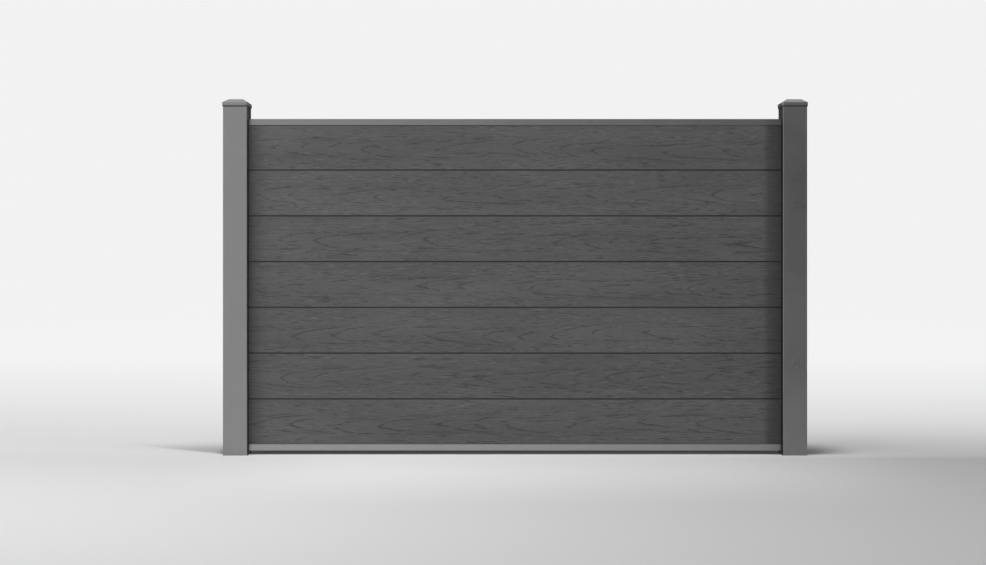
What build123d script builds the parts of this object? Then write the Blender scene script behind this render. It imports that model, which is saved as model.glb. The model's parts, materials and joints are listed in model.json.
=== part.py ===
"""Composite fence bay: two slotted aluminium posts, two rails and seven tongue-and-groove boards.

Each post is one extrusion with a deep slot in its left and its right side. The bottom rail stands on
a small block in each inner slot, its upstanding tongue carries the lowest board, and every board
carries the next. The top rail closes the stack and an angle bracket in each slot holds it down.
Rubber strips in the slots stop the boards from rattling. The left post ends the fence, so a strip
covers its outer slot; the outer slot of the right post is open, and takes the next bay.

Frame: X runs along the fence, Y through it with the photographed face towards -Y, and Z is up.
The origin is on the ground, midway between the posts and in the middle of their depth.
Sizes are in millimetres.
"""

import os
from math import atan, degrees

from build123d import *

# Bay
POST_PITCH = 1825.0        # from the middle of one post to the middle of the next
GROUND_GAP = 13.0          # from the ground to the bottom rail
BOARD_COUNT = 7

# Post
POST_SIDE = 80.0
POST_RISE = 50.0           # from the top rail to the top of the post
POST_WALL = 2.0
POST_CORNER_RADIUS = 3.0
SLOT_DEPTH = 22.0
PORT_RADIUS = 2.1          # hole of a screw port, for a 4.8 mm thread-forming screw
PORT_WALL = 1.6
PORT_MOUTH_WIDTH = 2.1     # of the slit that opens each port towards the post's middle
PORT_INSET = 5.0           # from the post's outer faces to the middle of a screw port

# Groove in each slot wall, which holds a rubber strip or the slot cover
KEY_INSET = 6.0            # from the slot's mouth to the middle of the groove
KEY_NECK_WIDTH = 2.0
KEY_NECK_DEPTH = 1.0
KEY_HEAD_WIDTH = 4.0
KEY_HEAD_DEPTH = 1.5
KEY_WALL = 1.2

# Board
BOARD_COVER = 150.0        # height that one board adds to the stack
BOARD_THICKNESS = 21.0
BOARD_SKIN = 4.5
BOARD_WEB = 5.0
BOARD_CHAMBERS = 4
BOARD_CHAMBER_CHAMFER = 2.2
BOARD_EDGE_RADIUS = 1.2
BOARD_END_GAP = 3.0        # room for a board to grow, at each end
SHADOW_GAP_HEIGHT = 3.0
SHADOW_GAP_DEPTH = 2.5
TONGUE_THICKNESS = 8.0
TONGUE_HEIGHT = 9.0
TONGUE_TIP_CHAMFER = 1.8
TONGUE_SIDE_CLEARANCE = 0.5
TONGUE_TIP_CLEARANCE = 1.5

# Rails
RAIL_WALL = 2.0
RAIL_BOARD_CLEARANCE = 0.5
RAIL_SLOT_CLEARANCE = 0.5
RAIL_CORNER_RADIUS = 2.0
RAIL_EDGE_RADIUS = 0.8     # at the edges that meet the boards
BOTTOM_RAIL_HEIGHT = 21.0  # without the tongue
TOP_RAIL_LIP = 4.0         # depth to which the top rail covers the top board's sides
TOP_RAIL_BODY = 16.0       # from the top board's seat to the top of the rail

# Cap
CAP_CLEARANCE = 0.3
CAP_WALL = 2.2
CAP_SKIRT = 13.0           # overlap down the outside of the post
CAP_BEVEL_HEIGHT = 5.5
CAP_BEVEL_EDGE = 0.5       # thickness left at the skirt's lower edge
CAP_BAND_HEIGHT = 9.0
CAP_SLOPE_HEIGHT = 12.0
CAP_SLOPE_INSET = 19.0
CAP_EDGE_RADIUS = 1.0      # along the hips and round the flat crown
CAP_ROOF = 2.5
CAP_LEDGE = 7.0            # that rests on the post's end, measured from the post's outer faces
CAP_RIB = 2.0
CAP_SPIGOT_DEPTH = 12.0
CAP_SPIGOT_CLEARANCE = 0.3

# Block under each end of the bottom rail
BLOCK_CLEARANCE = 0.4
BLOCK_WALL = 2.0
BLOCK_ROOF = 2.5

# Angle bracket over each end of the top rail, and its screws
BRACKET_WALL = 2.5
BRACKET_SIDE_CLEARANCE = 1.5
BRACKET_RISE = 22.0
BRACKET_REACH = 18.0
BRACKET_BEND_RADIUS = 1.2
SCREW_RADIUS = 2.0
SCREW_PILOT_CLEARANCE = 0.05
SCREW_HOLE_CLEARANCE = 0.5
SCREW_HEAD_FLATS = 7.0
SCREW_HEAD_HEIGHT = 2.4
SCREW_LENGTH = 8.0

# Rubber strip and slot cover
STRIP_CLEARANCE = 0.2
STRIP_LIP_WIDTH = 3.4
STRIP_TIP_WIDTH = 2.0
STRIP_END_GAP = 0.5
COVER_CLEARANCE = 0.3
COVER_FACE = 1.8
COVER_LEG = 1.5
COVER_LEG_LENGTH = 10.0
COVER_BEAD_RADIUS = 0.9

# Places that follow from the sizes above
post_x = POST_PITCH / 2
half_side = POST_SIDE / 2
rail_thickness = BOARD_THICKNESS + 2 * (RAIL_BOARD_CLEARANCE + RAIL_WALL)
slot_width = rail_thickness + 2 * RAIL_SLOT_CLEARANCE
board_length = POST_PITCH - POST_SIDE + 2 * (SLOT_DEPTH - BOARD_END_GAP)
slot_back = half_side - SLOT_DEPTH          # from the post's middle
key_x = half_side - KEY_INSET               # from the post's middle
port_place = half_side - PORT_INSET         # from the post's middle, in X and in Y
first_board_z = GROUND_GAP + BOTTOM_RAIL_HEIGHT
stack_top_z = first_board_z + BOARD_COUNT * BOARD_COVER
top_rail_bottom_z = stack_top_z - TOP_RAIL_LIP
top_rail_top_z = stack_top_z + TOP_RAIL_BODY
post_height = top_rail_top_z + POST_RISE
pilot_radius = SCREW_RADIUS + SCREW_PILOT_CLEARANCE

LEFT, RIGHT = -1, 1


def block(x_range, y_range):
    """Rectangle between two x values and two y values."""
    width = x_range[1] - x_range[0]
    height = y_range[1] - y_range[0]
    middle = ((x_range[0] + x_range[1]) / 2, (y_range[0] + y_range[1]) / 2)
    return Pos(*middle) * Rectangle(width, height)


def along_bay(section, length):
    """Solid of a section in the YZ plane, centred on the bay."""
    return extrude(Plane.YZ * section, amount=length / 2, both=True)


def rise(section, z_range):
    """Solid of a section in the XY plane, between two heights."""
    return extrude(Pos(0, 0, z_range[0]) * section, amount=z_range[1] - z_range[0])


def with_mirror(shape, plane):
    """A shape and its mirror image."""
    return shape + mirror(shape, plane)


def tongue(base_z):
    """Tongue section with a chamfered tip, on base_z. It starts a little lower, to join what carries it."""
    root = 1.0
    bar = block((-TONGUE_THICKNESS / 2, TONGUE_THICKNESS / 2), (base_z - root, base_z + TONGUE_HEIGHT))
    return chamfer(bar.vertices().group_by(Axis.Y)[-1], TONGUE_TIP_CHAMFER)


def key_groove():
    """T-shaped groove section in a slot wall. Its mouth is on the X axis and it runs towards +Y."""
    neck = block((-KEY_NECK_WIDTH / 2, KEY_NECK_WIDTH / 2), (0, KEY_NECK_DEPTH))
    head_top = KEY_NECK_DEPTH + KEY_HEAD_DEPTH
    head = block((-KEY_HEAD_WIDTH / 2, KEY_HEAD_WIDTH / 2), (KEY_NECK_DEPTH, head_top))
    return neck + head


def in_each_key(section):
    """Places a section at the grooves in the +X slot: in the wall towards +Y and, mirrored, towards -Y."""
    rear = Pos(key_x, slot_width / 2) * section
    return rear, mirror(rear, Plane.XZ)


def screw_port():
    """C-shaped screw port in the (+X, +Y) corner, open towards the post's middle."""
    place = Pos(port_place, port_place)
    wall = port_place + PORT_INSET - POST_WALL / 2
    ring = place * Circle(PORT_RADIUS + PORT_WALL) + block((port_place, wall), (port_place, wall))
    slit = block((-2 * (PORT_RADIUS + PORT_WALL), 0), (-PORT_MOUTH_WIDTH / 2, PORT_MOUTH_WIDTH / 2))
    mouth = place * Rot(0, 0, 45) * slit
    return ring, place * Circle(PORT_RADIUS) + mouth


def post_section():
    """Post extrusion: a square tube folded inwards at two sides to form the slots."""
    outer = RectangleRounded(POST_SIDE, POST_SIDE, POST_CORNER_RADIUS)
    inner_side = POST_SIDE - 2 * POST_WALL
    cavity = RectangleRounded(inner_side, inner_side, POST_CORNER_RADIUS - POST_WALL)
    fold_y = slot_width / 2 + POST_WALL
    boss_depth = KEY_NECK_DEPTH + KEY_HEAD_DEPTH + KEY_WALL
    boss_half = KEY_HEAD_WIDTH / 2 + KEY_WALL
    boss = block((-boss_half, boss_half), (0, boss_depth))
    folds = block((slot_back - POST_WALL, half_side), (-fold_y, fold_y))
    cuts = block((slot_back, half_side), (-slot_width / 2, slot_width / 2))
    for place in in_each_key(boss):
        folds += place
    for place in in_each_key(key_groove()):
        cuts += place
    folds = with_mirror(folds & outer, Plane.YZ)
    cuts = with_mirror(cuts, Plane.YZ)
    ring, port = screw_port()
    rings = with_mirror(with_mirror(ring, Plane.XZ), Plane.YZ)
    ports = with_mirror(with_mirror(port, Plane.XZ), Plane.YZ)
    return outer - cavity + folds + rings - cuts - ports


def post_screw_z():
    """Height of the screw that holds a top bracket's upright leg to the post."""
    return top_rail_top_z + BRACKET_RISE - SCREW_HEAD_FLATS


def rail_screw_x():
    """Distance from the bay's middle to the screw that holds the bracket down on the top rail."""
    return post_x - slot_back - BRACKET_REACH + SCREW_HEAD_FLATS


def post(side):
    """Post at one end of the bay, with a pilot hole in its inner slot for the top bracket's screw."""
    hole_x = POST_WALL / 2 - slot_back if side == RIGHT else slot_back - POST_WALL / 2
    hole = Pos(hole_x, 0, post_screw_z()) * Rot(0, 90, 0) * Cylinder(pilot_radius, 2 * POST_WALL)
    return Pos(side * post_x, 0, 0) * (rise(post_section(), (0, post_height)) - hole)


def board_section():
    """Board extrusion from z = 0: hollow, with a groove below and a tongue and two shadow gaps above."""
    half = BOARD_THICKNESS / 2
    face = block((-half, half), (0, BOARD_COVER - SHADOW_GAP_HEIGHT))
    face = fillet(face.vertices(), BOARD_EDGE_RADIUS)
    neck_half = half - SHADOW_GAP_DEPTH
    neck_bottom = BOARD_COVER - 2 * SHADOW_GAP_HEIGHT
    shoulder = block((-neck_half, neck_half), (neck_bottom, BOARD_COVER))
    groove_half = TONGUE_THICKNESS / 2 + TONGUE_SIDE_CLEARANCE
    groove_top = TONGUE_HEIGHT + TONGUE_TIP_CLEARANCE
    groove = block((-groove_half, groove_half), (0, groove_top))
    groove = chamfer(groove.vertices().group_by(Axis.Y)[-1], TONGUE_TIP_CHAMFER)
    section = face + shoulder + tongue(BOARD_COVER) - groove
    first = groove_top + BOARD_SKIN
    last = BOARD_COVER - SHADOW_GAP_HEIGHT - 2 * BOARD_SKIN
    height = (last - first - (BOARD_CHAMBERS - 1) * BOARD_WEB) / BOARD_CHAMBERS
    chamber = Rectangle(BOARD_THICKNESS - 2 * BOARD_SKIN, height)
    chamber = chamfer(chamber.vertices(), BOARD_CHAMBER_CHAMFER)
    for row in range(BOARD_CHAMBERS):
        section -= Pos(0, first + height / 2 + row * (height + BOARD_WEB)) * chamber
    return section


def bottom_rail():
    """Closed aluminium rail with a tongue that stands up into the lowest board's groove."""
    half = rail_thickness / 2
    outer = block((-half, half), (GROUND_GAP, first_board_z))
    outer = fillet(outer.vertices().group_by(Axis.Y)[0], RAIL_CORNER_RADIUS)
    outer = fillet(outer.vertices().group_by(Axis.Y)[-1], RAIL_EDGE_RADIUS)
    inner_half = half - RAIL_WALL
    hollow = block((-inner_half, inner_half), (GROUND_GAP + RAIL_WALL, first_board_z - RAIL_WALL))
    return along_bay(outer + tongue(first_board_z) - hollow, board_length)


def top_rail():
    """Aluminium rail that takes the top board's tongue between two ledges and covers its shadow gaps."""
    half = rail_thickness / 2
    outer = block((-half, half), (top_rail_bottom_z, top_rail_top_z))
    outer = fillet(outer.vertices().group_by(Axis.Y)[-1], RAIL_CORNER_RADIUS)
    outer = fillet(outer.vertices().group_by(Axis.Y)[0], RAIL_EDGE_RADIUS)
    inner_half = half - RAIL_WALL
    below = block((-inner_half, inner_half), (top_rail_bottom_z, stack_top_z))
    hollow = block((-inner_half, inner_half), (stack_top_z + RAIL_WALL, top_rail_top_z - RAIL_WALL))
    groove_half = TONGUE_THICKNESS / 2 + TONGUE_SIDE_CLEARANCE
    throat = block((-groove_half, groove_half), (stack_top_z, stack_top_z + RAIL_WALL))
    rail = along_bay(outer - below - hollow - throat, board_length)
    for side in (LEFT, RIGHT):
        hole = Pos(side * rail_screw_x(), 0, top_rail_top_z - RAIL_WALL / 2)
        rail -= hole * Cylinder(pilot_radius, 2 * RAIL_WALL)
    return rail


def cross(x_half, y_half):
    """Cross of two ribs that reach x_half and y_half from the middle."""
    rib = (-CAP_RIB / 2, CAP_RIB / 2)
    return block((-x_half, x_half), rib) + block(rib, (-y_half, y_half))


def cap():
    """Hipped cap over a post at the origin. Crossed ribs stiffen its roof and go down into the post."""
    inner = POST_SIDE + 2 * CAP_CLEARANCE
    outer = inner + 2 * CAP_WALL
    foot = inner + 2 * CAP_BEVEL_EDGE
    crown = outer - 2 * CAP_SLOPE_INSET
    inner_radius = POST_CORNER_RADIUS + CAP_CLEARANCE
    skirt_z = post_height - CAP_SKIRT
    band_z = skirt_z + CAP_BEVEL_HEIGHT
    eave_z = band_z + CAP_BAND_HEIGHT
    crown_z = eave_z + CAP_SLOPE_HEIGHT

    def frustum(outline, from_z, to_z, inset):
        """Solid whose sides lean inwards by inset between two heights. It may run up or down."""
        angle = degrees(atan(inset / abs(to_z - from_z)))
        return extrude(Pos(0, 0, from_z) * outline, amount=to_z - from_z, taper=angle)

    outline = RectangleRounded(outer, outer, inner_radius + CAP_WALL)
    band = rise(outline, (band_z, eave_z))
    bevel = frustum(outline, band_z, skirt_z, (outer - foot) / 2)
    roof = frustum(Rectangle(outer, outer), eave_z, crown_z, CAP_SLOPE_INSET)
    above_eave = [edge for edge in roof.edges() if edge.center().Z > eave_z + CAP_EDGE_RADIUS]
    roof = fillet(above_eave, CAP_EDGE_RADIUS)
    shell = bevel + band + (roof & rise(outline, (eave_z, crown_z)))
    shell -= rise(RectangleRounded(inner, inner, inner_radius), (skirt_z, post_height))

    hollow = POST_SIDE - 2 * CAP_LEDGE
    hollow_inset = (hollow - crown) / 2 + CAP_ROOF
    under_roof = frustum(Rectangle(hollow, hollow), post_height, crown_z - CAP_ROOF, hollow_inset)
    shell -= under_roof - rise(cross(hollow, hollow), (post_height, crown_z))
    spigot_x = slot_back - POST_WALL - CAP_SPIGOT_CLEARANCE
    spigot_y = half_side - POST_WALL - CAP_SPIGOT_CLEARANCE
    return shell + rise(cross(spigot_x, spigot_y), (post_height - CAP_SPIGOT_DEPTH, post_height))


def rail_block():
    """Moulded block in a post's +X slot, hollow from below, which carries the end of the bottom rail."""
    x_range = (slot_back + BLOCK_CLEARANCE, half_side - BLOCK_CLEARANCE)
    y_half = slot_width / 2 - BLOCK_CLEARANCE
    body = rise(block(x_range, (-y_half, y_half)), (0, GROUND_GAP))
    inside_x = (x_range[0] + BLOCK_WALL, x_range[1] - BLOCK_WALL)
    inside = block(inside_x, (BLOCK_WALL - y_half, y_half - BLOCK_WALL))
    rib_x = (inside_x[0] + inside_x[1]) / 2
    inside -= block((rib_x - BLOCK_WALL / 2, rib_x + BLOCK_WALL / 2), (-y_half, y_half))
    return body - rise(inside, (0, GROUND_GAP - BLOCK_ROOF))


def top_bracket():
    """Angle bracket in a post's +X slot: one leg on the slot's back, the other on top of the rail."""
    leg_x = (slot_back, slot_back + BRACKET_WALL)
    upright = block(leg_x, (top_rail_top_z, top_rail_top_z + BRACKET_RISE))
    foot_z = (top_rail_top_z, top_rail_top_z + BRACKET_WALL)
    foot = block((slot_back, slot_back + BRACKET_REACH), foot_z)
    angle = upright + foot
    inside_corner = angle.vertices().sort_by_distance((leg_x[1], foot_z[1]))[0]
    angle = fillet(inside_corner, BRACKET_BEND_RADIUS)
    width = slot_width - 2 * BRACKET_SIDE_CLEARANCE
    body = extrude(Plane.XZ * angle, amount=width / 2, both=True)
    drill = Cylinder(SCREW_RADIUS + SCREW_HOLE_CLEARANCE, 4 * BRACKET_WALL)
    post_hole = Pos(slot_back, 0, post_screw_z()) * Rot(0, 90, 0) * drill
    rail_hole = Pos(post_x - rail_screw_x(), 0, top_rail_top_z) * drill
    return body - post_hole - rail_hole


def screw():
    """Hex-head screw whose head sits on z = 0 and whose shank hangs down."""
    head = extrude(RegularPolygon(SCREW_HEAD_FLATS / 2, 6, major_radius=False), amount=SCREW_HEAD_HEIGHT)
    return head + Cylinder(SCREW_RADIUS, SCREW_LENGTH, align=(Align.CENTER, Align.CENTER, Align.MAX))


def bracket_screws():
    """Two screws: one through the bracket into the post at the origin, one down into the top rail."""
    post_screw = Pos(slot_back + BRACKET_WALL, 0, post_screw_z()) * Rot(0, 90, 0) * screw()
    rail_screw = Pos(post_x - rail_screw_x(), 0, top_rail_top_z + BRACKET_WALL) * screw()
    return Compound([post_screw, rail_screw])


def rubber_strip():
    """Rubber strip in the groove of the +X slot's wall towards +Y, as far as the board's face."""
    gap = (slot_width - BOARD_THICKNESS) / 2 - STRIP_CLEARANCE
    foot_half = KEY_HEAD_WIDTH / 2 - STRIP_CLEARANCE
    neck_half = KEY_NECK_WIDTH / 2 - STRIP_CLEARANCE
    head_top = KEY_NECK_DEPTH + KEY_HEAD_DEPTH
    foot = block((-foot_half, foot_half), (KEY_NECK_DEPTH + STRIP_CLEARANCE, head_top))
    neck = block((-neck_half, neck_half), (0, head_top))
    lip = make_face(
        Polyline(
            (-STRIP_LIP_WIDTH / 2, 0),
            (STRIP_LIP_WIDTH / 2, 0),
            (STRIP_TIP_WIDTH / 2, -gap),
            (-STRIP_TIP_WIDTH / 2, -gap),
            close=True,
        )
    )
    section = Pos(key_x, slot_width / 2) * (foot + neck + lip)
    return rise(section, (first_board_z + STRIP_END_GAP, top_rail_bottom_z - STRIP_END_GAP))


def slot_cover():
    """Channel that clips into a post's unused +X slot, flush with the post's side."""
    half = slot_width / 2 - COVER_CLEARANCE
    face = block((half_side - COVER_FACE, half_side), (-half, half))
    leg = block((half_side - COVER_LEG_LENGTH, half_side), (half - COVER_LEG, half))
    bead = Pos(key_x, half) * Circle(COVER_BEAD_RADIUS)
    legs = leg + bead
    return rise(face + with_mirror(legs, Plane.XZ), (0, post_height))


def in_inner_slot(side, shape):
    """Moves a shape from the +X slot of a post at the origin to the slot that faces the bay's middle."""
    facing = mirror(shape, Plane.YZ) if side == RIGHT else shape
    return Pos(side * post_x, 0, 0) * facing


def sub_parts():
    """Every piece of the bay in its place, by name."""
    parts = {
        "bottom_rail": bottom_rail(),
        "top_rail": top_rail(),
        "left_slot_cover": Pos(LEFT * post_x, 0, 0) * mirror(slot_cover(), Plane.YZ),
    }
    board = along_bay(board_section(), board_length)
    for row in range(BOARD_COUNT):
        parts[f"board_{row + 1}"] = Pos(0, 0, first_board_z + row * BOARD_COVER) * board
    rear_strip = rubber_strip()
    for name, side in (("left", LEFT), ("right", RIGHT)):
        parts[f"{name}_post"] = post(side)
        parts[f"{name}_post_cap"] = Pos(side * post_x, 0, 0) * cap()
        parts[f"{name}_rail_block"] = in_inner_slot(side, rail_block())
        parts[f"{name}_top_bracket"] = in_inner_slot(side, top_bracket())
        parts[f"{name}_bracket_screws"] = in_inner_slot(side, bracket_screws())
        parts[f"{name}_rear_strip"] = in_inner_slot(side, rear_strip)
        parts[f"{name}_front_strip"] = in_inner_slot(side, mirror(rear_strip, Plane.XZ))
    return parts


os.makedirs("parts", exist_ok=True)
for name, shape in sub_parts().items():
    export_step(shape, f"parts/{name}.step")
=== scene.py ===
import json
import math

import bmesh
import bpy
import numpy as np
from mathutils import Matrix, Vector


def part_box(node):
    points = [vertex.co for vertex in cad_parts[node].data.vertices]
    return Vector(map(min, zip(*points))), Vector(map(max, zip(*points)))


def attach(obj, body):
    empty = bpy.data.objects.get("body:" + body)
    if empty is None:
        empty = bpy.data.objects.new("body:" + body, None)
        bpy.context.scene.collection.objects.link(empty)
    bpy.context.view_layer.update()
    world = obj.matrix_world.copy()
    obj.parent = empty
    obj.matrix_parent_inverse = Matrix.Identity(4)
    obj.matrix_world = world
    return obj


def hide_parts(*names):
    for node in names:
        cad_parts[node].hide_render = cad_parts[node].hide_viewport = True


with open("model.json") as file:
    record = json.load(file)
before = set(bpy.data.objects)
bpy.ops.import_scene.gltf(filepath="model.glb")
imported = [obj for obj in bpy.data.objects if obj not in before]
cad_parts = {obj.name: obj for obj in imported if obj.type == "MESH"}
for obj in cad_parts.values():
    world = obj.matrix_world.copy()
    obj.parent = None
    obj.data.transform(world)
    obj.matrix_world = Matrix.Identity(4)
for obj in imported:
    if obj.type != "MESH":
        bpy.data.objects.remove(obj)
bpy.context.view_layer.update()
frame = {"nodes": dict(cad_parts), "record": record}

nodes = frame["nodes"]


# Node helpers

NOISE_MEAN = 0.5
NOISE_RANGE = 0.3, 0.7      # where most values of a noise lie


def grey(level):
    return level, level, level, 1.0


class Tree:
    """Short calls for building a shader or geometry node tree. Only mix_shaders is for shaders alone."""

    def __init__(self, tree):
        self.tree = tree

    def node(self, kind, **values):
        made = self.tree.nodes.new(kind)
        for name, value in values.items():
            setattr(made, name, value)
        return made

    def put(self, socket, value):
        """Links a socket to another one, or sets its value."""
        if isinstance(value, bpy.types.NodeSocket):
            self.tree.links.new(value, socket)
        else:
            socket.default_value = value

    def fill(self, node, values):
        """Puts values into a node's sockets by name."""
        for name, value in values.items():
            self.put(node.inputs[name], value)

    def math(self, operation, *values):
        made = self.node("ShaderNodeMath", operation=operation)
        for socket, value in zip(made.inputs, values):
            self.put(socket, value)
        return made.outputs[0]

    def add(self, a, b):
        return self.math("ADD", a, b)

    def sub(self, a, b):
        return self.math("SUBTRACT", a, b)

    def mul(self, a, b):
        return self.math("MULTIPLY", a, b)

    def over(self, a, b):
        return self.math("DIVIDE", a, b)

    def power(self, a, b):
        return self.math("POWER", a, b)

    def absolute(self, value):
        return self.math("ABSOLUTE", value)

    def most(self, first, *others):
        """The highest of the values."""
        for other in others:
            first = self.math("MAXIMUM", first, other)
        return first

    def ramp(self, value, low, high, to_low=0.0, to_high=1.0, smooth=True):
        made = self.node("ShaderNodeMapRange", interpolation_type="SMOOTHSTEP" if smooth else "LINEAR")
        self.fill(made, {"Value": value, "From Min": low, "From Max": high,
                         "To Min": to_low, "To Max": to_high})
        return made.outputs["Result"]

    def split(self, vector):
        made = self.node("ShaderNodeSeparateXYZ")
        self.put(made.inputs[0], vector)
        return made.outputs

    def join(self, x, y, z):
        made = self.node("ShaderNodeCombineXYZ")
        for socket, value in zip(made.inputs, (x, y, z)):
            self.put(socket, value)
        return made.outputs[0]

    def noise(self, vector, scale, detail, rough):
        made = self.node("ShaderNodeTexNoise")
        self.fill(made, {"Vector": vector, "Scale": scale, "Detail": detail, "Roughness": rough})
        return made.outputs[0]

    def mix(self, factor, low, high, kind="MIX"):
        """A colour between two. Each of them is a socket or a grey level."""
        made = self.node("ShaderNodeMix", data_type="RGBA", blend_type=kind)
        self.put(made.inputs["Factor"], factor)
        for name, colour in (("A", low), ("B", high)):
            self.put(made.inputs[name], grey(colour) if isinstance(colour, float) else colour)
        return made.outputs["Result"]

    def mix_shaders(self, factor, low, high):
        made = self.node("ShaderNodeMixShader")
        for socket, value in zip(made.inputs, (factor, low, high)):
            self.put(socket, value)
        return made.outputs[0]


# Wood grain

# Lengths are in metres. A pair is where a change starts and where it ends.
MIDDLE = 0.064              # height of the arrowheads' middle line above a board's foot
WANDER = 0.070              # how far this line wanders up and down
RAGGED = 0.0110             # how far the rings stray from their curve
RINGS = 6.6                 # rings in a metre of board
DRIFT = 3.4                 # rings that are added or taken away as their spacing drifts
POINT = 18.0                # how pointed the arrowheads are, in rings per metre
FLATTEN = 3.2e5             # how soon their legs run along the board
BEND = 3.6                  # and how sharply they bend to do so
STEEP = 3.0                 # rings per metre added for the slope along the board
TIP = 0.003, 0.016          # distance from the middle line at which a tip turns into two legs
TIP_BOLDER = 0.3            # how much wider a ring is at its tip
TIP_KEPT = 0.02             # and how much less it is broken
WIDTH_AT = 0.34, 0.68       # noise at which a ring is thinnest and widest
WIDTH = 0.0010, 0.0034      # and how wide it is there
SHARP_SIDE = 0.25, 1.0      # shares of its width over which a ring ends on its sharp side
SOFT_SIDE = 0.1, 1.0        # and on its soft side, which is wider and less deep
SOFT_WIDER = 1.7
SOFT_DEPTH = 0.5
GATE = 0.42, 0.54           # noise at which a ring breaks off
RING_REACH = 0.026, 0.039   # distance from the middle line over which the rings die out
OUTER = 0.010, 0.050        # and over which pores and ticks get denser
DENSER = 0.030
CROWDING = 0.15             # how much pores crowd in places
PORES = 0.64, 0.71          # noise at which a pore begins and at which it is deepest
TICKS = 0.63, 0.71
STREAK_SHARE = 0.45
BROAD_SHARE = 0.55

# Cells per metre along and across the board, shift, detail and roughness of each noise
GRAIN_NOISES = {
    "ragged": (30.0, 120.0, 5.0, 3.0, 0.6),
    "width": (14.0, 60.0, 13.0, 2.0, 0.5),
    "gaps": (10.0, 70.0, 29.0, 3.0, 0.65),
    "crowd": (4.0, 26.0, 53.0, 1.0, 0.5),
    "pores": (25.0, 400.0, 41.0, 1.5, 0.5),
    "proud": (28.0, 380.0, 97.0, 1.5, 0.5),
    "fibre": (42.0, 900.0, 67.0, 3.0, 0.6),
    "streak": (12.0, 280.0, 71.0, 3.0, 0.65),
    "broad": (1.6, 9.0, 83.0, 2.0, 0.55),
}
# Cells per metre along the board, row and shift of the two slow noises, then their detail and roughness
WANDER_NOISE = 1.9, 4.0, 9.4
DRIFT_NOISE = 2.6, 0.0, 3.1
SLOW_DETAIL = 1.0
SLOW_ROUGH = 0.4


def grain(t, at):
    """Embossed wood grain at the face coordinates at = (x, z from the board's foot, seed), in metres.

    Returns (rings, pores, ticks, fibre, tone), each from 0 to 1: how deep the growth rings and the
    short pores are pressed in, where ticks stay proud, how deep the fine fibre is, and a tone of
    broad and narrow streaks.
    """
    x, z, seed = t.split(at)

    def drawn_out(name):
        """One of the grain's noises, drawn out along the board."""
        along, across, shift, detail, rough = GRAIN_NOISES[name]
        place = t.join(t.mul(x, along), t.mul(z, across), t.add(seed, shift))
        return t.noise(place, 1.0, detail, rough)

    def slow(along, row, shift):
        """Noise that changes slowly along the board and not at all across it."""
        place = t.join(t.mul(x, along), row, t.add(seed, shift))
        return t.noise(place, 1.0, SLOW_DETAIL, SLOW_ROUGH)

    # The growth rings are nested arrowheads that point along the board and flatten into lines
    # towards its edges. Their middle line wanders up and down, and the rings are ragged.
    line = t.add(MIDDLE, t.mul(t.sub(slow(*WANDER_NOISE), NOISE_MEAN), WANDER))
    stray = t.mul(t.sub(drawn_out("ragged"), NOISE_MEAN), RAGGED)
    off = t.absolute(t.add(t.sub(z, line), stray))
    bow = t.add(t.mul(off, POINT), t.mul(t.power(off, BEND), FLATTEN))
    level = t.sub(t.add(t.mul(x, RINGS), t.mul(slow(*DRIFT_NOISE), DRIFT)), bow)
    # distances to the ring before and the ring after, from how fast the level changes
    steep = t.add(t.mul(t.power(off, BEND - 1.0), BEND * FLATTEN), POINT + STEEP)
    phase = t.math("FRACT", level)
    before = t.over(phase, steep)
    after = t.over(t.sub(1.0, phase), steep)
    # a little bolder near the tip, where the legs meet
    tip = t.sub(1.0, t.ramp(off, *TIP))
    width = t.ramp(drawn_out("width"), *WIDTH_AT, *WIDTH)
    width = t.mul(width, t.add(1.0, t.mul(tip, TIP_BOLDER)))
    sharp = t.sub(1.0, t.ramp(t.over(before, width), *SHARP_SIDE))
    soft = t.sub(1.0, t.ramp(t.over(after, t.mul(width, SOFT_WIDER)), *SOFT_SIDE))
    gate = t.ramp(t.add(drawn_out("gaps"), t.mul(tip, TIP_KEPT)), *GATE)
    inner = t.sub(1.0, t.ramp(off, *RING_REACH))
    rings = t.mul(t.mul(t.most(sharp, t.mul(soft, SOFT_DEPTH)), gate), inner)
    # Short pores are thin lenses where a drawn-out noise passes a threshold. Between them, ticks of
    # the same shape stay proud, and the composite paints them lighter as highlights.
    crowd = t.mul(t.sub(drawn_out("crowd"), NOISE_MEAN), CROWDING)
    outer = t.mul(t.ramp(off, *OUTER), DENSER)
    pores = t.ramp(t.add(drawn_out("pores"), t.add(crowd, outer)), *PORES)
    ticks = t.ramp(t.add(drawn_out("proud"), outer), *TICKS)
    tone = t.add(t.mul(drawn_out("streak"), STREAK_SHARE), t.mul(drawn_out("broad"), BROAD_SHARE))
    return rings, pores, ticks, drawn_out("fibre"), tone


# Materials

POST_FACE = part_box("right_post")[0].x    # where the boards go into the right post

# Three numbers are the cells per metre, detail and roughness of a noise. A bump is a distance in
# metres and a strength. Two greys, or two values of roughness, are the ends of a range.
LEATHER = 1400.0, 2.0, 0.5
ORANGE_PEEL = 260.0, 2.0, 0.5
CLOUD = 7.0, 3.0, 0.55
CLOUD_SHARE = 0.75
LEATHER_SHARE = 0.25
LEATHER_HEIGHT = 0.35       # beside orange peel of height 1
COAT_SPREAD = 0.92, 1.09    # of a coat's grey
COAT_ROUGH = -0.03, 0.04    # added to its roughness
COAT_BUMP = 0.00006, 0.6
COAT_SPECULAR = 0.15
DUST = 520.0, 2.0, 0.6
DUST_AT = 0.66, 0.80
DUST_SHARE = 0.10
DUST_GREY = 0.42
SIDEWAYS = 0.20, 0.45       # how far a face looks sideways while it stops mirroring at a low angle, a painted shade on the side faces
UNDERNEATH = -0.10, -0.25   # and how far down while a painted shade darkens its colour
UNDER_SHADE_GREY = 0.10
INNER_SHADE_REACH = 0.0022, 0.0004    # metres beyond POST_FACE at which the painted shade on a post's inner faces has ended, and from which it fades
INNER_SHADE_GREY = 0.04

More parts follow.
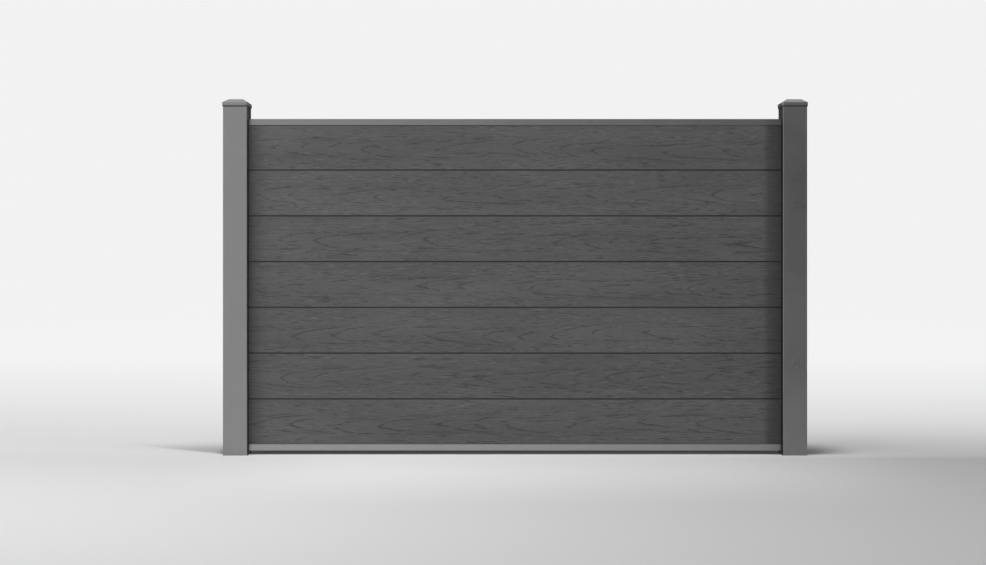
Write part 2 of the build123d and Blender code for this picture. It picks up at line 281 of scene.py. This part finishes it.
SPECK = 900.0, 2.0, 0.6
COMPOSITE_GREYS = 0.0658, 0.1128
TONE_AT = 0.30, 0.70
TONE_SHARE = 0.66
FIBRE_SHARE = 0.22
SPECK_SHARE = 0.12
# grey and share of the painted highlights on the proud ticks
TICK_GREY = 0.19
TICK_SHARE = 0.38
DARK_GREY = 0.026           # of what is pressed in, of joints, and of the painted shade near the posts
PORE_SHARE = 0.85           # of the pores beside the rings
PRESSED_SHARE = 0.72
JOINT_SHARE = 0.9
POST_SHADE_LENGTH = 0.075         # metres from a post over which the painted shade thins out
POST_SHADE_AT = 0.25, 0.75
POST_SHADE_STREAKS = 0.7, 1.0
POST_SHADE_SHARE = 0.47
COMPOSITE_ROUGH = 0.50, 0.75
COMPOSITE_SPECULAR = 0.50
COMPOSITE_BUMP = 0.00040, 1.0
FIBRE_HEIGHT = 0.25         # beside a pressed depth of 1
SPECK_HEIGHT = 0.10
TICK_HEIGHT = 0.5

RUBBER_FINE = 1100.0, 2.0, 0.5
RUBBER_BLOOM = 30.0, 3.0, 0.6
RUBBER_GREYS = 0.022, 0.040
RUBBER_ROUGH = 0.62, 0.78
RUBBER_BUMP = 0.00005, 0.5
PLASTIC_SPARK = 700.0, 2.0, 0.5
PLASTIC_CLOUD = 40.0, 2.0, 0.5
PLASTIC_GREYS = 0.018, 0.032
PLASTIC_ROUGH = 0.42, 0.58
PLASTIC_BUMP = 0.00006, 0.6
DRAWN_LINES = 1.0, 3.0, 0.6
METAL_CLOUD = 60.0, 2.0, 0.5
METAL_SPREAD = 0.85, 1.05   # of a metal's grey
METAL_ROUGHER = 0.16
METAL_BUMP = 0.00003, 0.6


def new_material(name):
    made = bpy.data.materials.new(name)
    made.use_nodes = True
    return made, Tree(made.node_tree), made.node_tree.nodes["Principled BSDF"]


def bump(t, height, distance, strength):
    made = t.node("ShaderNodeBump")
    t.fill(made, {"Strength": strength, "Distance": distance, "Height": height})
    return made.outputs["Normal"]


def object_place(t):
    return t.node("ShaderNodeTexCoord").outputs["Object"]


def powder_coat(name, level, metal, rough, edge=0.0, painted_inner_shade=0.0):
    """Fine-textured metallic powder coat.

    edge scales what it mirrors at a low angle on faces that don't look sideways, so faces that look
    sideways get a painted shade, and it paints shade into the colour where a face looks down. The last
    argument paints shade on the faces of a post that the boards go into.
    """
    material, t, shader = new_material(name)
    at = object_place(t)
    leather = t.noise(at, *LEATHER)
    cloud = t.noise(at, *CLOUD)
    factor = t.add(t.mul(cloud, CLOUD_SHARE), t.mul(leather, LEATHER_SHARE))
    base = t.mix(factor, *(level * spread for spread in COAT_SPREAD))
    dust = t.ramp(t.noise(at, *DUST), *DUST_AT)
    colour = t.mix(t.mul(dust, DUST_SHARE), base, DUST_GREY)
    mirrored = grey(0.0)
    if edge:
        look_x, _, look_z = t.split(t.node("ShaderNodeNewGeometry").outputs["Normal"])
        # painted shade: faces that look sideways stop mirroring at a low angle
        mirrored = t.ramp(t.absolute(look_x), *SIDEWAYS, edge, 0.0)
        # painted shade in the colour of faces that look down, under the cap's band
        colour = t.mix(t.ramp(look_z, *UNDERNEATH), colour, UNDER_SHADE_GREY)
    if painted_inner_shade:
        beyond = t.sub(t.absolute(t.split(at)[0]), POST_FACE)
        # painted shade on the post's faces that the boards go into
        colour = t.mix(t.ramp(beyond, *INNER_SHADE_REACH, 0.0, painted_inner_shade), colour, INNER_SHADE_GREY)
    height = t.add(t.mul(leather, LEATHER_HEIGHT), t.noise(at, *ORANGE_PEEL))
    t.fill(shader, {
        "Base Color": colour,
        "Roughness": t.ramp(cloud, *NOISE_RANGE, *(rough + more for more in COAT_ROUGH), smooth=False),
        "Metallic": metal,
        "Specular IOR Level": COAT_SPECULAR,
        "Specular Tint": mirrored,
        "Normal": bump(t, height, *COAT_BUMP),
    })
    return material


def composite():
    """Wood-plastic composite: the pressed grain, painted highlights on its proud ticks, specks of fibre,
    and painted shade near the posts and in the joints.
    """
    material, t, shader = new_material("composite")

    def stored(name, kind):
        return t.node("ShaderNodeAttribute", attribute_name=name).outputs[kind]

    rings, pores, ticks, fibre, tone = grain(t, stored("grain_at", "Vector"))
    on = stored("grain_on", "Fac")
    place = object_place(t)
    speck = t.noise(place, *SPECK)
    pressed = t.mul(t.most(rings, t.mul(pores, PORE_SHARE)), on)
    specks = t.add(t.mul(fibre, FIBRE_SHARE), t.mul(speck, SPECK_SHARE))
    base = t.mix(t.add(t.mul(t.ramp(tone, *TONE_AT), TONE_SHARE), specks), *COMPOSITE_GREYS)
    # painted highlights on the proud ticks
    tick_highlights = t.mix(t.mul(t.mul(ticks, on), TICK_SHARE), base, TICK_GREY)
    # painted shade where the boards go into the posts, broken up by the streaks
    to_end = t.ramp(t.absolute(t.split(place)[0]), POST_FACE - POST_SHADE_LENGTH, POST_FACE)
    painted_post_shade = t.mul(to_end, t.ramp(tone, *POST_SHADE_AT, *POST_SHADE_STREAKS))
    # the joint faces are darker, partly dirt and partly painted shade in the shadow gap
    joint = stored("joint_dirt_and_shade", "Fac")
    dark = t.most(t.mul(pressed, PRESSED_SHARE), t.mul(joint, JOINT_SHARE), t.mul(painted_post_shade, POST_SHADE_SHARE))
    fine = t.add(t.mul(fibre, FIBRE_HEIGHT), t.mul(speck, SPECK_HEIGHT))
    height = t.add(fine, t.sub(t.mul(ticks, TICK_HEIGHT), pressed))
    t.fill(shader, {
        "Base Color": t.mix(dark, tick_highlights, DARK_GREY),
        "Roughness": t.ramp(pressed, 0.0, 1.0, *COMPOSITE_ROUGH),
        "Specular IOR Level": COMPOSITE_SPECULAR,
        "Normal": bump(t, height, *COMPOSITE_BUMP),
    })
    return material


def rubber():
    material, t, shader = new_material("strip_rubber")
    at = object_place(t)
    bloom = t.noise(at, *RUBBER_BLOOM)
    t.fill(shader, {
        "Base Color": t.mix(bloom, *RUBBER_GREYS),
        "Roughness": t.ramp(bloom, *NOISE_RANGE, *RUBBER_ROUGH),
        "Normal": bump(t, t.noise(at, *RUBBER_FINE), *RUBBER_BUMP),
    })
    return material


def moulded_plastic():
    material, t, shader = new_material("block_plastic")
    at = object_place(t)
    spark = t.noise(at, *PLASTIC_SPARK)
    t.fill(shader, {
        "Base Color": t.mix(t.noise(at, *PLASTIC_CLOUD), *PLASTIC_GREYS),
        "Roughness": t.ramp(spark, *NOISE_RANGE, *PLASTIC_ROUGH),
        "Normal": bump(t, spark, *PLASTIC_BUMP),
    })
    return material


def mill_metal(name, level, rough, cells):
    """Bare metal with fine drawing lines, which run along the axis with the fewest cells per metre."""
    material, t, shader = new_material(name)
    place = object_place(t)
    drawn = t.node("ShaderNodeMapping")
    t.fill(drawn, {"Vector": place, "Scale": cells})
    lines = t.noise(drawn.outputs[0], *DRAWN_LINES)
    t.fill(shader, {
        "Base Color": t.mix(t.noise(place, *METAL_CLOUD), *(level * spread for spread in METAL_SPREAD)),
        "Metallic": 1.0,
        "Roughness": t.ramp(lines, *NOISE_RANGE, rough, rough + METAL_ROUGHER),
        "Normal": bump(t, lines, *METAL_BUMP),
    })
    return material


# Each coat has its grey, how metallic it is and its roughness, and each metal its grey and roughness
slot_material = {
    "powder_coat": powder_coat("powder_coat", 0.28, 0.80, 0.30),
    # the caps' coat, with painted shade on faces that look sideways and down
    "cap_coat": powder_coat("cap_coat", 0.29, 0.80, 0.30, edge=1.0),
    "cover_strip": powder_coat("cover_strip", 0.29, 0.75, 0.36),
    "strip_rubber": rubber(),
    "block_plastic": moulded_plastic(),
    "bracket_metal": mill_metal("bracket_metal", 0.55, 0.34, (900.0, 60.0, 900.0)),
    "screw_steel": mill_metal("screw_steel", 0.52, 0.26, (1500.0, 1500.0, 300.0)),
}
# the posts' coat, with painted shade on the faces that the boards go into
post_coat = powder_coat("post_coat", 0.275, 0.80, 0.30, painted_inner_shade=0.75)
node_material = {
    # the bottom rail's coat is lighter than the other coats: painted light from the bright floor below it
    "bottom_rail": powder_coat("bottom_rail_lit_coat", 0.345, 0.80, 0.30),
    "left_post": post_coat,
    "right_post": post_coat,
}
composite_material = composite()

for part in frame["record"]["subparts"]:
    if part["material_slot"] in slot_material:
        mesh = nodes[part["node"]].data
        mesh.materials.clear()
        mesh.materials.append(node_material.get(part["node"], slot_material[part["material_slot"]]))
        for face in mesh.polygons:
            face.material_index = 0


# Boards

# Lengths are in metres.
BOARDS = 7
ROW = 0.0013                # height of a cell on a board's face
COLUMN = 0.0080             # length of a cell
TALL = 0.05                 # a straight line of the section is a face if it is taller than this
SAME = 1e-6                 # two places closer than this are the same
NEAR = 2e-5                 # and a point this near to a face's plane lies on it
WELD = 2e-6
EXACT = 6                   # digits that tell the section's corners apart
MATCHED = 5                 # and digits in which a CAD point and a point of the skin agree
RELIEF_RINGS = 0.00065
RELIEF_PORES = 0.00050
RELIEF_FIBRE = 0.00010
FADE = 0.0018               # over which the relief dies out towards a face's upper and lower edge
EDGE_KEEP = 0.25            # of the relief that is left at the edge itself
SHIFT = 2.6                 # of the grain from one board to another
SHIFT_ORDER = 5             # shifts from one board to the next, counted round through all boards
SHIFT_MORE = 0.37           # and each is shifted this much more
SEED_FRONT = 1.7            # steps between the boards' seeds on the front
SEED_BACK = 31.0            # the back's seeds start here
ACROSS = 0.5                # a face whose normal has less than this along x isn't an end
SHARP_ANGLE = 32.0          # degrees


def outer_loop(mesh):
    """The board's outer section at its -X end, as an ordered list of (y, z)."""
    end = min(v.co.x for v in mesh.vertices)
    at_end = {v.index for v in mesh.vertices if abs(v.co.x - end) < SAME}

    def corner(index):
        _, y, z = mesh.vertices[index].co
        return round(y, EXACT), round(z, EXACT)

    count = {}
    for face in mesh.polygons:
        if all(i in at_end for i in face.vertices):
            ring = list(face.vertices)
            for a, b in zip(ring, ring[1:] + ring[:1]):
                edge = frozenset((corner(a), corner(b)))
                if len(edge) == 2:
                    count[edge] = count.get(edge, 0) + 1
    links = {}
    for edge, times in count.items():
        if times == 1:
            a, b = edge
            links.setdefault(a, []).append(b)
            links.setdefault(b, []).append(a)
    loops = []
    left = set(links)
    while left:
        start = min(left)
        loop = [start]
        last, here = None, start
        while True:
            ahead = [point for point in links[here] if point != last]
            last, here = here, ahead[0]
            if here == start:
                break
            loop.append(here)
        left -= set(loop)
        loops.append(loop)
    return max(loops, key=lambda loop: max(z for y, z in loop) - min(z for y, z in loop))


def finer(loop, half):
    """The loop with rows added on the two faces, and for each point which face it is on: -1, 0 or 1."""
    points = []
    for (y, z), (next_y, next_z) in zip(loop, loop[1:] + loop[:1]):
        rise = abs(z - next_z)
        side = 0
        if abs(abs(y) - half) < NEAR and abs(abs(next_y) - half) < NEAR and rise > TALL:
            side = 1 if y > 0 else -1
        rows = max(1, round(rise / ROW)) if side else 1
        for n in range(rows):
            share = n / rows
            points.append((y + (next_y - y) * share, z + (next_z - z) * share, side))
    return points


def anticlockwise(yz):
    """Whether the section runs anticlockwise, seen with y to the right and z up."""
    y, z = yz[:, 0], yz[:, 1]
    return np.sum(y * np.roll(z, -1) - np.roll(y, -1) * z) > 0


def relief_tree():
    """Geometry nodes that press the grain into a face along its stored direction."""
    tree = bpy.data.node_groups.new("press_grain", "GeometryNodeTree")
    tree.interface.new_socket("Geometry", in_out="INPUT", socket_type="NodeSocketGeometry")
    tree.interface.new_socket("Geometry", in_out="OUTPUT", socket_type="NodeSocketGeometry")
    t = Tree(tree)

    def stored(name, kind):
        made = t.node("GeometryNodeInputNamedAttribute", data_type=kind)
        made.inputs["Name"].default_value = name
        return made.outputs["Attribute"]

    rings, pores, _, fibre, _ = grain(t, stored("grain_at", "FLOAT_VECTOR"))
    depth = t.most(t.mul(rings, RELIEF_RINGS), t.mul(pores, RELIEF_PORES))
    depth = t.add(depth, t.mul(fibre, RELIEF_FIBRE))
    push = t.node("ShaderNodeVectorMath", operation="SCALE")
    t.put(push.inputs[0], stored("grain_in", "FLOAT_VECTOR"))
    t.put(push.inputs["Scale"], t.mul(depth, stored("grain_on", "FLOAT")))
    move = t.node("GeometryNodeSetPosition")
    t.put(move.inputs["Geometry"], t.node("NodeGroupInput").outputs[0])
    t.put(move.inputs["Offset"], push.outputs[0])
    t.put(t.node("NodeGroupOutput").inputs[0], move.outputs[0])
    return tree


press = relief_tree()


def skin(name, number, loop, half):
    """A board's outer skin, still smooth, with what the grain needs stored at each point."""
    low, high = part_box(name)
    columns = round((high.x - low.x) / COLUMN)
    rows = len(loop)
    xs = np.linspace(low.x, high.x, columns + 1)
    yz = np.array([(y, z) for y, z, side in loop])
    sides = np.array([side for y, z, side in loop])
    co = np.empty((columns + 1, rows, 3))
    co[:, :, 0] = xs[:, None]
    co[:, :, 1:] = yz[None]

    face_z = yz[sides != 0][:, 1]
    bottom, top = face_z.min(), face_z.max()
    edge = np.minimum(yz[:, 1] - bottom, top - yz[:, 1]).clip(0, FADE) / FADE
    on_face = abs(abs(yz[:, 0]) - half) < NEAR
    on = np.where(on_face, EDGE_KEEP + (1 - EDGE_KEEP) * edge, 0.0)
    # the joint with the next board is darker, partly dirt and partly painted shade in the shadow gap; the
    # one with a rail isn't
    middle = (bottom + top) / 2
    at_rail = (yz[:, 1] < middle) if number == 1 else (yz[:, 1] > middle) & (number == BOARDS)
    joint = np.where(on_face | at_rail, 0.0, 1.0)
    start = SHIFT * (number * SHIFT_ORDER % BOARDS) + SHIFT_MORE * number
    at = np.empty_like(co)
    at[:, :, 0] = xs[:, None] * np.where(sides > 0, -1, 1)[None] + start
    at[:, :, 1] = yz[None, :, 1] - low.z
    at[:, :, 2] = np.where(sides > 0, SEED_BACK + number, SEED_FRONT * number)[None]
    inwards = np.zeros_like(co)
    inwards[:, :, 1] = -np.sign(yz[:, 0])[None]

    index = np.arange((columns + 1) * rows).reshape(columns + 1, rows)
    a, b = index[:-1], index[1:]
    quads = np.stack([a, np.roll(a, -1, 1), np.roll(b, -1, 1), b], -1).reshape(-1, 4)
    if anticlockwise(yz):
        quads = quads[:, ::-1]
    mesh = bpy.data.meshes.new(name + "_grained")
    mesh.from_pydata(co.reshape(-1, 3).tolist(), [], quads.tolist())
    for key, values in (("grain_at", at), ("grain_in", inwards)):
        layer = mesh.attributes.new(key, "FLOAT_VECTOR", "POINT")
        layer.data.foreach_set("vector", values.astype(np.float32).ravel())
    for key, values in (("grain_on", on), ("joint_dirt_and_shade", joint)):
        layer = mesh.attributes.new(key, "FLOAT", "POINT")
        layer.data.foreach_set("value", np.tile(values.astype(np.float32), columns + 1))
    mesh.materials.append(composite_material)
    return mesh


def apply_press(made):
    """Gives the object the mesh that its grain presses, so that this mesh holds its own relief."""
    modifier = made.modifiers.new("press", "NODES")
    modifier.node_group = press
    graph = bpy.context.evaluated_depsgraph_get()
    pressed = bpy.data.meshes.new_from_object(made.evaluated_get(graph), depsgraph=graph)
    made.modifiers.clear()
    made.data = pressed


def add_inside(mesh, source, loop):
    """Adds the ends and the chambers of the CAD node, as they are, to the skin."""
    work = bmesh.new()
    work.from_mesh(mesh)
    inner = bmesh.new()
    inner.from_mesh(source)
    outline = {(round(y, MATCHED), round(z, MATCHED)) for y, z, side in loop}

    def on_skin(face):
        places = {(round(v.co.y, MATCHED), round(v.co.z, MATCHED)) for v in face.verts}
        return abs(face.normal.x) < ACROSS and places <= outline

    bmesh.ops.delete(inner, geom=[face for face in inner.faces if on_skin(face)], context="FACES")
    copied = {}
    for face in inner.faces:
        for v in face.verts:
            if v not in copied:
                copied[v] = work.verts.new(v.co)
        work.faces.new([copied[v] for v in face.verts])
    inner.free()
    bmesh.ops.remove_doubles(work, verts=work.verts, dist=WELD)
    work.to_mesh(mesh)
    work.free()
    for face in mesh.polygons:
        face.use_smooth = True
    mesh.set_sharp_from_angle(angle=math.radians(SHARP_ANGLE))


def board(name, number):
    """A board as its CAD node is, with the grain pressed into both faces."""
    source = nodes[name].data
    low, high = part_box(name)
    half = max(abs(low.y), abs(high.y))
    loop = finer(outer_loop(source), half)
    made = bpy.data.objects.new(name + "_grained", skin(name, number, loop, half))
    bpy.context.scene.collection.objects.link(made)
    apply_press(made)
    add_inside(made.data, source, loop)
    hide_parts(name)
    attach(made, "root")


for number in range(1, BOARDS + 1):
    board(f"board_{number}", number)


# Studio floor

# Lengths are in metres. y is 0 in the panel's middle plane and grows backwards.
FLOOR_SIZE = 60.0
FLOOR_CELLS = 8
FLOOR_LEFT = 0.775          # the floor's grey to the left; lower to the right, a painted shade
FLOOR_RIGHT_SHADED = 0.755
FLOOR_TURN = -1.0, 0.5      # x between which one turns into the other
FLOOR_NEAR_LIT = 0.96           # painted light: a lighter grey just before the panel, where the panel itself shades the floor
NEAR_DEPTH = -1.30, -0.35   # y between which it gets there
NEAR_MIDDLE = 0.10
NEAR_LENGTH = 1.25, 0.45    # and distance from that middle
FLOOR_ROUGH = 0.9
FLOOR_SPECULAR = 0.1
SHADE_HALF = 0.955          # half the length of the shade under and close behind the panel
SHADE_FRONT = -0.03, 0.03   # y over which it gets deep
SHADE_BACK = 0.44, 0.10     # y at which it has ended, and y from which it fades
SHADE_SLANT = 0.80          # how far it starts further back for each metre beyond the left post
SHADE_BESIDE = 0.62         # how far beyond the left post it dies out
SHADE_SHORTER = 3.0         # to the right, where the light comes from, it is this much shorter
SHADE_TONE = 0.31
SHADE_OPEN = 0.48           # share of it beyond the posts, where the lamp's own shadow lies too
SHADE_OPEN_OVER = 0.0, 0.05
FADE_BEHIND = -0.12         # y from which the floor turns into the backdrop
FADE_BESIDE = 1.45
FADE_BEFORE = 2.0
FADE_SOFT = 1.1             # how gently that starts beside and before the panel
FADE_OVER = 1.24            # how far it is spread, and the power of that distance
FADE_POWER = 0.75
HORIZON = 0.905             # what the floor turns into, and that turns into the backdrop further away
HORIZON_TURN = 5.0, 22.0
BACKDROP = 0.888            # the world as the camera sees it, and metal too where it looks backwards
MIRROR_SIDE = 1.1, -0.9     # x between which metal starts to see the light side's floor
MIRROR_BEFORE = 0.0, -0.2   # and y
MIRROR_BEHIND = 0.0, 1.0    # y over which it starts to see the floor behind the panel


def rays(t, *kinds):
    """1 where the ray is of one of the kinds, such as Is Camera Ray."""
    path = t.node("ShaderNodeLightPath")
    return t.most(*(path.outputs[kind] for kind in kinds))


def floor_shade(t, x, y):
    """How deep the shade under and behind the panel is, and how much of it the floor's colour takes."""
    to_left = t.most(t.sub(t.mul(x, -1.0), SHADE_HALF), 0.0)
    to_right = t.most(t.sub(x, SHADE_HALF), 0.0)
    beside = t.add(to_left, t.mul(to_right, SHADE_SHORTER))
    behind = t.sub(y, t.mul(to_left, SHADE_SLANT))
    shade = t.mul(t.ramp(behind, *SHADE_FRONT), t.ramp(y, *SHADE_BACK))
    shade = t.mul(shade, t.ramp(beside, SHADE_BESIDE, 0.0))
    return shade, t.mul(shade, t.ramp(beside, *SHADE_OPEN_OVER, 1.0, SHADE_OPEN))


def floor_material():
    """Pale floor that turns into the backdrop with distance from the object, all round it."""
    material, t, shader = new_material("studio_floor")
    x, y, _ = t.split(object_place(t))
    # painted light just before the panel, and a painted shade towards the right of the floor
    near = t.mul(t.ramp(y, *NEAR_DEPTH), t.ramp(t.absolute(t.sub(x, NEAR_MIDDLE)), *NEAR_LENGTH))
    tone = t.mix(near, t.mix(t.ramp(x, *FLOOR_TURN), FLOOR_LEFT, FLOOR_RIGHT_SHADED), FLOOR_NEAR_LIT)
    shade, taken = floor_shade(t, x, y)
    t.fill(shader, {
        "Base Color": t.mix(taken, tone, SHADE_TONE, "MULTIPLY"),
        "Roughness": FLOOR_ROUGH,
        "Specular IOR Level": FLOOR_SPECULAR,
    })
    # how far outside the lit middle: behind the panel, to either side, or in front
    side = t.most(t.sub(t.absolute(x), FADE_BESIDE), 0.0)
    front = t.most(t.sub(t.mul(y, -1.0), FADE_BEFORE), 0.0)
    corner = t.mul(t.add(t.mul(side, side), t.mul(front, front)), FADE_SOFT)
    out = t.most(t.sub(y, FADE_BEHIND), corner, 0.0)
    spread = t.power(t.mul(out, 1.0 / FADE_OVER), FADE_POWER)
    far = t.mul(t.sub(1.0, t.math("EXPONENT", t.mul(spread, -1.0))), t.sub(1.0, shade))
    glow = t.node("ShaderNodeEmission")
    t.put(glow.inputs["Color"], t.mix(t.ramp(out, *HORIZON_TURN), HORIZON, BACKDROP))
    # metal sees it behind the panel, and before the panel on the lighter side of the studio
    bright_side = t.mul(t.ramp(x, *MIRROR_SIDE, smooth=False), t.ramp(y, *MIRROR_BEFORE))
    glossy = rays(t, "Is Glossy Ray", "Is Transmission Ray")
    mirrored = t.mul(glossy, t.most(t.mul(far, t.ramp(y, *MIRROR_BEHIND)), bright_side))
    factor = t.most(t.mul(far, rays(t, "Is Camera Ray")), mirrored)
    surface = t.mix_shaders(factor, shader.outputs[0], glow.outputs[0])
    t.put(material.node_tree.nodes["Material Output"].inputs["Surface"], surface)
    return material


def stage_floor():
    work = bmesh.new()
    bmesh.ops.create_grid(work, x_segments=FLOOR_CELLS, y_segments=FLOOR_CELLS, size=FLOOR_SIZE / 2)
    mesh = bpy.data.meshes.new("studio_floor")
    work.to_mesh(mesh)
    work.free()
    mesh.materials.append(floor_material())
    made = bpy.data.objects.new("studio_floor", mesh)
    bpy.context.scene.collection.objects.link(made)


stage_floor()


# Lamps

# Name, place, aim, width and height, and the radiance of the lamp's face
SOFTBOXES = (
    ("key_softbox", (17.6, -9.6, 2.6), (0.0, 0.0, 0.5), (3.2, 2.3), 84.0),
    ("overhead_softbox", (-1.7, -1.5, 3.4), (-1.2, -0.6, 0.0), (3.2, 2.0), 5.9),
    ("rear_softbox", (0.0, 7.5, 1.4), (0.0, 0.0, 0.6), (8.0, 2.0), 2.2),
)


def softbox(name, place, aim, size, radiance):
    """Area lamp that isn't mirrored. Metal mirrors the world instead of it."""
    lamp = bpy.data.lights.new(name, "AREA")
    lamp.shape = "RECTANGLE"
    lamp.size, lamp.size_y = size
    lamp.energy = radiance * math.pi * size[0] * size[1]
    made = bpy.data.objects.new(name, lamp)
    made.location = place
    made.rotation_euler = (Vector(aim) - Vector(place)).to_track_quat("-Z", "Y").to_euler()
    made.visible_glossy = False
    bpy.context.scene.collection.objects.link(made)


for lamp_facts in SOFTBOXES:
    softbox(*lamp_facts)


# World

# A direction has length 1, and y is backwards. A pair is the range over which a value changes.
DIFFUSE_WORLD = 0.09        # the world as matt surfaces see it
STUDIO_LEFT = 1.00          # how light metal sees the studio before the panel, to the left
STUDIO_RIGHT = 0.00         # and to the right
STUDIO_TURN = -0.27, 0.25   # x between which one turns into the other
STUDIO_FAR_LEFT = 0.60      # share of it that is left far to the left
FAR_LEFT = -0.75, -0.40
STUDIO_ABOVE = 0.50         # how light it is at least, high up
ABOVE = 0.24, 0.44
BEFORE = -0.05, 0.30        # how far a direction points forwards


def background(t, level):
    made = t.node("ShaderNodeBackground")
    t.fill(made, {"Color": grey(1.0), "Strength": level})
    return made.outputs[0]


def studio_world():
    """The backdrop, and the studio that metal sees before the panel, which is dim to the right."""
    world = bpy.data.worlds.new("studio")
    world.use_nodes = True
    t = Tree(world.node_tree)
    x, y, z = t.split(t.node("ShaderNodeTexCoord").outputs["Generated"])
    before = t.ramp(t.mul(y, -1.0), *BEFORE)
    across = t.ramp(x, *STUDIO_TURN, STUDIO_LEFT, STUDIO_RIGHT)
    dim = t.mul(across, t.ramp(x, *FAR_LEFT, STUDIO_FAR_LEFT, 1.0))
    dim = t.most(dim, t.ramp(z, *ABOVE, 0.0, STUDIO_ABOVE))
    level = t.add(t.mul(before, dim), t.mul(t.sub(1.0, before), BACKDROP))
    glossy = rays(t, "Is Glossy Ray", "Is Transmission Ray")
    mirrored = t.mix_shaders(glossy, background(t, DIFFUSE_WORLD), background(t, level))
    seen = t.mix_shaders(rays(t, "Is Camera Ray"), mirrored, background(t, BACKDROP))
    t.put(world.node_tree.nodes["World Output"].inputs["Surface"], seen)
    return world


bpy.context.scene.world = studio_world()


# Camera

CAMERA_PLACE = -0.072, -5.12, 0.564
CAMERA_TILT = 90.0          # degrees up from straight down
CAMERA_LENS = 56.91
CAMERA_SENSOR = 36.0
CAMERA_REACH = 200.0

camera_data = bpy.data.cameras.new("camera")
camera_data.sensor_fit = "HORIZONTAL"
camera_data.sensor_width = CAMERA_SENSOR
camera_data.lens = CAMERA_LENS
camera_data.clip_end = CAMERA_REACH
camera = bpy.data.objects.new("camera", camera_data)
camera.location = CAMERA_PLACE
camera.rotation_euler = (math.radians(CAMERA_TILT), 0.0, 0.0)
bpy.context.scene.collection.objects.link(camera)
bpy.context.scene.camera = camera

bpy.context.scene.view_settings.view_transform = "Standard"
